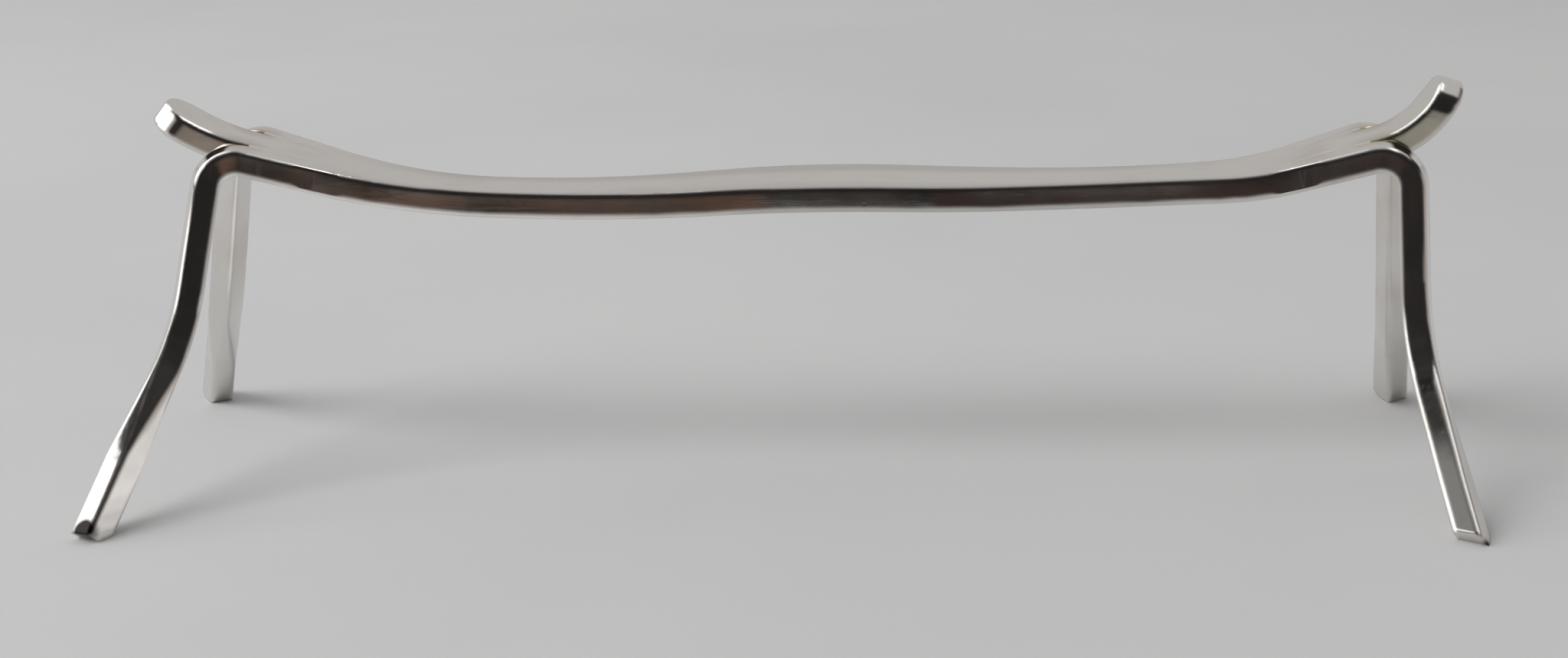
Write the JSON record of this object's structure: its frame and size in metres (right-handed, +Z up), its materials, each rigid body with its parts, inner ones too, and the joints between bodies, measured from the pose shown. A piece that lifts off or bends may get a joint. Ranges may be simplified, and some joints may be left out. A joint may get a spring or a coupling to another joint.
{
  "type": "knife rest",
  "caption": "Waved metal strip knife rest with upturned ends, carried on splayed bent strip legs soldered into its corners, for a knife to lie across between courses.",
  "frame": {"origin": "on the table, in the middle of the rest's length and depth", "axes": "+X along the bar to the right as the picture shows it, +Y to the rear, +Z up"},
  "size_m": [0.0918, 0.0352, 0.0272],
  "materials": {
    "silver_plate": "polished silver plate, lightly worn",
    "hard_solder": "polished hard solder"
  },
  "bodies": {
    "root": {"rest_bar": "silver_plate", "front_left_leg": "silver_plate", "front_right_leg": "silver_plate", "rear_left_leg": "silver_plate", "rear_right_leg": "silver_plate", "front_left_solder_seam": "hard_solder", "front_right_solder_seam": "hard_solder", "rear_left_solder_seam": "hard_solder", "rear_right_solder_seam": "hard_solder"}
  },
  "joints": []
}
